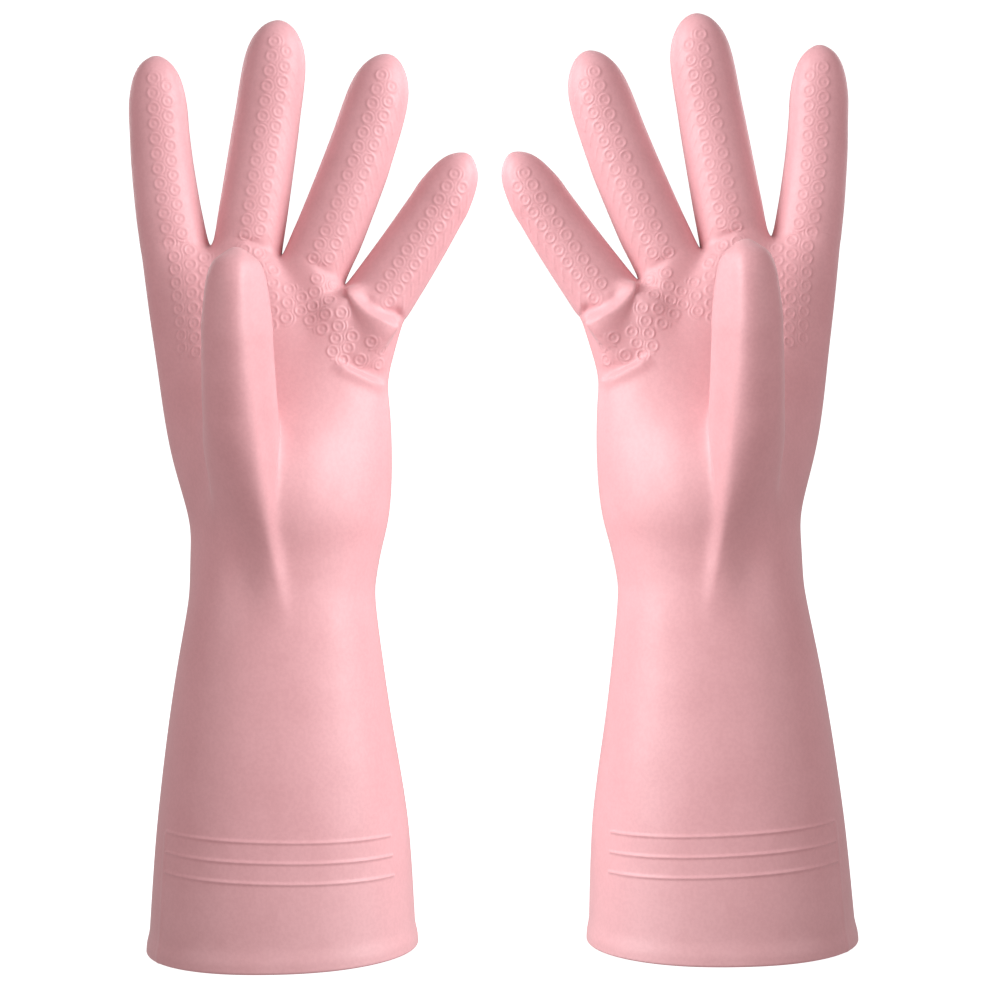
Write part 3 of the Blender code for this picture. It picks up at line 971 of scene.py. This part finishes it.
def bend_ends(name, side, joint):
    """The two places at the ends of a digit's first or second flexing stretch, moved a little
    outwards.
    """
    if name == "thumb":
        length, place = thumb_length(), thumb_place
        start, end = [share * length for share in (THUMB_ROOT_FLEX, THUMB_MIDDLE_FLEX)[joint]]
    else:
        length, place = finger_place(name)
        start, end = finger_joints(name)[joint]
    return [tuple(in_place(place(s)[0], side)) for s in (start + BEND_INTO, end + BEND_BEYOND)]


def make_glove(glove, hand_name, side, rubber, flock):
    faces = {}
    for number, stretch in enumerate(glove.stretches):
        faces.setdefault(stretch, []).append(number)

    def made(name, shell, material, slot, nodes):
        piece = piece_object(f"{hand_name}_{name}", side, shell, material)
        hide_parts(*[f"{hand_name}_{node}" for node in nodes])
        return piece

    def skin_piece(stretch, *nodes):
        shell = glove.shell(faces[stretch], glove.outer, glove.inner)
        return made(f"{stretch}_skin", shell, rubber, "rubber_skin", nodes)

    def lining_piece(stretch, chosen, *nodes):
        shell = glove.shell(chosen, glove.flock, glove.fleece)
        return made(f"{stretch}_flock", shell, flock, "flock_lining", nodes)

    gauntlet, hand = f"{hand_name}_gauntlet", f"{hand_name}_hand"
    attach(skin_piece("gauntlet", "gauntlet", "cuff_bead"), gauntlet)
    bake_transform(skin_piece("wrist", "wrist_flex"))
    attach(skin_piece("hand", "hand"), hand)
    lined = [f for f in faces["gauntlet"] if min(glove.faces[f]) // COLUMNS >= LINING_FOOT_ROW]
    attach(lining_piece("gauntlet", lined, "gauntlet_lining"), gauntlet)
    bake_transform(lining_piece("wrist", faces["wrist"]))
    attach(lining_piece("hand", faces["hand"], "hand_lining"), hand)
    for digit in (*FINGERS, "thumb"):
        root_flex = "thumb_root_flex" if digit == "thumb" else f"{digit}_knuckle_flex"
        piece = skin_piece(f"{digit}_base", root_flex, f"{digit}_base")
        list(bend_ends(digit, side, 0))
        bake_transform(piece)
        piece = skin_piece(f"{digit}_tip", f"{digit}_middle_flex", f"{digit}_tip")
        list(bend_ends(digit, side, 1))
        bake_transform(piece)


# ------ materials
WHITE = (1, 1, 1)
GLOVE_TOP = 0.32  # the rubber's colours go from the hem to this height, at shares of it
RUBBER_COLOURS = (
    (0.00, (0.740, 0.378, 0.398)),
    (0.16, (0.765, 0.372, 0.396)),
    (0.40, (0.790, 0.380, 0.405)),
    (1.00, (0.800, 0.375, 0.405)),
)
PATCH_SCALE, PATCH_TINTS = 45, ((0.35, (0.96, 0.94, 0.94)), (0.65, WHITE))
GRAIN_SCALE, GRAIN_TINTS = 900, ((0.40, (0.965, 0.95, 0.95)), (0.60, WHITE))
GLOSS_SCALE, GLOSS_RANGE = 120, (0.40, 0.56)
# Bumps: scale and detail of the noise, strength, height.
SOFT_BUMP, FINE_BUMP = (160, 2, 0.25, 0.0006), (1600, 2, 0.18, 0.0001)
RUBBER = {"Specular IOR Level": 0.45, "Sheen Weight": 0.22, "Sheen Roughness": 0.5}

CLUMPS = (700, 5, 0.7)  # scale, detail and roughness of the flock's clumps
FLOCK_COLOURS = ((0.30, (0.62, 0.53, 0.51)), (0.70, (0.88, 0.83, 0.80)))
FLOCK_BUMP = (0.8, 0.0004)
FLOCK = {"Roughness": 0.95, "Specular IOR Level": 0.15, "Sheen Weight": 0.5, "Sheen Roughness": 0.6}
PAPER = {
    "Base Color": (0.86, 0.86, 0.86, 1),
    "Roughness": 0.9,
    "Emission Color": (*WHITE, 1),
    "Emission Strength": 0.85,
}


def new_material(name, values):
    """A material whose shader has these constant values."""
    material = bpy.data.materials.new(name)
    material.use_nodes = True
    shader = material.node_tree.nodes["Principled BSDF"]
    for socket, value in values.items():
        shader.inputs[socket].default_value = value
    return material, material.node_tree, shader


def node(tree, kind, inputs, **settings):
    """A node with these settings, and these numbers or outputs in its inputs."""
    made = tree.nodes.new(kind)
    for name, value in settings.items():
        setattr(made, name, value)
    for name, value in inputs.items():
        if isinstance(value, bpy.types.NodeSocket):
            tree.links.new(value, made.inputs[name])
        else:
            made.inputs[name].default_value = value
    return made


def rest_place(tree):
    return node(tree, "ShaderNodeAttribute", {}, attribute_name="rest_place").outputs["Vector"]


def noise(tree, place, scale, detail=3.0, roughness=0.55):
    inputs = {"Vector": place, "Scale": scale, "Detail": detail, "Roughness": roughness}
    return node(tree, "ShaderNodeTexNoise", inputs).outputs["Fac"]


def ramp(tree, factor, stops):
    """A colour ramp through (position, colour) stops."""
    made = node(tree, "ShaderNodeValToRGB", {"Fac": factor})
    made.color_ramp.interpolation = "EASE"
    elements = made.color_ramp.elements
    while len(elements) < len(stops):
        elements.new(0.5)
    for element, (position, colour) in zip(elements, stops):
        element.position = position
        element.color = (*colour, 1)
    return made.outputs["Color"]


def multiplied(tree, a, b):
    inputs = {"Factor": 1.0, "A": a, "B": b}
    made = node(tree, "ShaderNodeMix", inputs, data_type="RGBA", blend_type="MULTIPLY")
    return made.outputs["Result"]


def scaled(tree, value, low=0.0, high=1.0, full=1.0):
    """A value from 0 to full turned into the range from low to high."""
    inputs = {"Value": value, "From Max": full, "To Min": low, "To Max": high}
    return node(tree, "ShaderNodeMapRange", inputs).outputs["Result"]


def bump(tree, height, strength, distance, normal=None):
    inputs = {"Height": height, "Strength": strength, "Distance": distance}
    if normal:
        inputs["Normal"] = normal
    return node(tree, "ShaderNodeBump", inputs).outputs["Normal"]


def rubber_material():
    """Satin pink rubber: a little greyer at the cuff, mottled, with a fine moulded grain."""
    material, tree, shader = new_material("pink_rubber", RUBBER)
    place = rest_place(tree)
    apart = node(tree, "ShaderNodeSeparateXYZ", {"Vector": place})
    colour = ramp(tree, scaled(tree, apart.outputs["Z"], full=GLOVE_TOP), RUBBER_COLOURS)
    for scale, tints in ((PATCH_SCALE, PATCH_TINTS), (GRAIN_SCALE, GRAIN_TINTS)):
        colour = multiplied(tree, colour, ramp(tree, noise(tree, place, scale), tints))
    tree.links.new(colour, shader.inputs["Base Color"])
    gloss = scaled(tree, noise(tree, place, GLOSS_SCALE), *GLOSS_RANGE)
    tree.links.new(gloss, shader.inputs["Roughness"])
    normal = None
    for scale, detail, strength, height in (SOFT_BUMP, FINE_BUMP):
        normal = bump(tree, noise(tree, place, scale, detail), strength, height, normal)
    tree.links.new(normal, shader.inputs["Normal"])
    return material


def flock_material():
    """Short off-white cotton flock: matt and fuzzy, with small clumps."""
    material, tree, shader = new_material("cotton_flock", FLOCK)
    clumps = noise(tree, rest_place(tree), *CLUMPS)
    tree.links.new(ramp(tree, clumps, FLOCK_COLOURS), shader.inputs["Base Color"])
    tree.links.new(bump(tree, clumps, *FLOCK_BUMP), shader.inputs["Normal"])
    return material


# ------ backdrop, lights and camera
FLOOR_HALF, FLOOR_FRONT, WALL_AT, SWEEP_RADIUS, WALL_TOP = 3.0, -3.0, 1.6, 0.6, 3.0
SWEEP_STEPS = 16


def make_backdrop():
    """A sheet of pale paper: the floor, a round sweep and the wall behind."""
    outline = [(FLOOR_FRONT, 0), (WALL_AT - SWEEP_RADIUS, 0)]
    for k in range(1, SWEEP_STEPS + 1):
        angle = math.pi / 2 * k / SWEEP_STEPS
        y = WALL_AT - SWEEP_RADIUS + SWEEP_RADIUS * math.sin(angle)
        outline.append((y, SWEEP_RADIUS * (1 - math.cos(angle))))
    outline.append((WALL_AT, WALL_TOP))
    points = [(x, y, z) for x in (-FLOOR_HALF, FLOOR_HALF) for y, z in outline]
    n = len(outline)
    faces = [(k, n + k, n + k + 1, k + 1) for k in range(n - 1)]
    mesh = bpy.data.meshes.new("backdrop")
    mesh.from_pydata(points, [], faces)
    mesh.shade_smooth()
    mesh.materials.append(new_material("white_paper", PAPER)[0])
    backdrop = linked("backdrop", mesh)
    backdrop.visible_diffuse = False
    backdrop.visible_glossy = False


def area_light(name, place, target, size, power, colour=WHITE):
    """A soft box of size (width, height) that faces its target."""
    data = bpy.data.lights.new(name, "AREA")
    data.shape = "RECTANGLE"
    data.size, data.size_y = size
    data.energy = power
    data.color = colour
    light = linked(name, data)
    light.location = place
    away = np.array(place) - np.array(target)
    pitch = math.atan2(math.hypot(away[0], away[1]), away[2])
    light.rotation_euler = Euler((pitch, 0, math.atan2(away[0], -away[1])))
    light.visible_camera = False
    return light


KEY_AROUND, KEY_UP = 66, 22  # degrees from the palms' front, and above level
KEY_DISTANCE, KEY_SIZE, KEY_POWER = 0.9, (0.35, 0.8), 9.1
KEY_COLOUR = (0.84, 1.0, 1.0)
LIT_HEIGHT = 0.16  # the height at which the lights are aimed
FILL_PLACE, FILL_SIZE, FILL_POWER = (0.75, -0.65, 0.25), (0.7, 0.7), 2.8
BACK_PLACE, BACK_SIZE, BACK_POWER = (0.8, 0.8, 0.7), (0.6, 0.6), 2.5
WORLD_COLOUR, WORLD_STRENGTH = (1.0, 0.95, 0.95, 1), 0.34


def make_lights():
    """Each glove has a soft key light of its own, which comes from the other glove's side."""
    for side, name in ((LEFT, "left"), (RIGHT, "right")):
        target = place_of(side) + (0, 0, LIT_HEIGHT)
        around, up = math.radians(KEY_AROUND), math.radians(KEY_UP)
        level = np.array((-side * math.sin(around), -math.cos(around), 0)) * math.cos(up)
        place = target + (level + (0, 0, math.sin(up))) * KEY_DISTANCE
        key = area_light(f"{name}_key", place, target, KEY_SIZE, KEY_POWER, KEY_COLOUR)
        lit = bpy.data.collections.new(f"{name}_glove")
        for obj in bpy.context.scene.collection.objects:
            if obj.name.startswith(f"{name}_") and obj.type == "MESH":
                lit.objects.link(obj)
        key.light_linking.receiver_collection = lit
        key.light_linking.blocker_collection = lit
        outward = np.array((side, 1, 1))
        area_light(f"{name}_fill", FILL_PLACE * outward, target, FILL_SIZE, FILL_POWER)
        area_light(f"{name}_back", BACK_PLACE * outward, target, BACK_SIZE, BACK_POWER)
    world = bpy.data.worlds.new("studio")
    world.use_nodes = True
    background = world.node_tree.nodes["Background"]
    background.inputs["Color"].default_value = WORLD_COLOUR
    background.inputs["Strength"].default_value = WORLD_STRENGTH
    bpy.context.scene.world = world


CAMERA_DISTANCE = 0.592  # in front of the gloves' middle
CAMERA_HEIGHT = 0.1558
CAMERA_LENS, SENSOR = 61.8, 36  # millimetres
CAMERA_ROLL = 0.95  # degrees


def make_camera():
    data = bpy.data.cameras.new("camera")
    data.lens = CAMERA_LENS
    data.sensor_width = SENSOR
    data.clip_start = 0.01
    camera = linked("camera", data)
    camera.location = (0, place_of(LEFT)[1] - CAMERA_DISTANCE, CAMERA_HEIGHT)
    camera.rotation_euler = Euler((math.pi / 2, math.radians(CAMERA_ROLL), 0))
    bpy.context.scene.camera = camera
    bpy.context.scene.view_settings.view_transform = "Standard"


# ------ scene
make_camera()
make_backdrop()
GLOVE = Glove()
MATERIALS = rubber_material(), flock_material()
make_glove(GLOVE, "left", LEFT, *MATERIALS)
make_glove(GLOVE, "right", RIGHT, *MATERIALS)
make_lights()
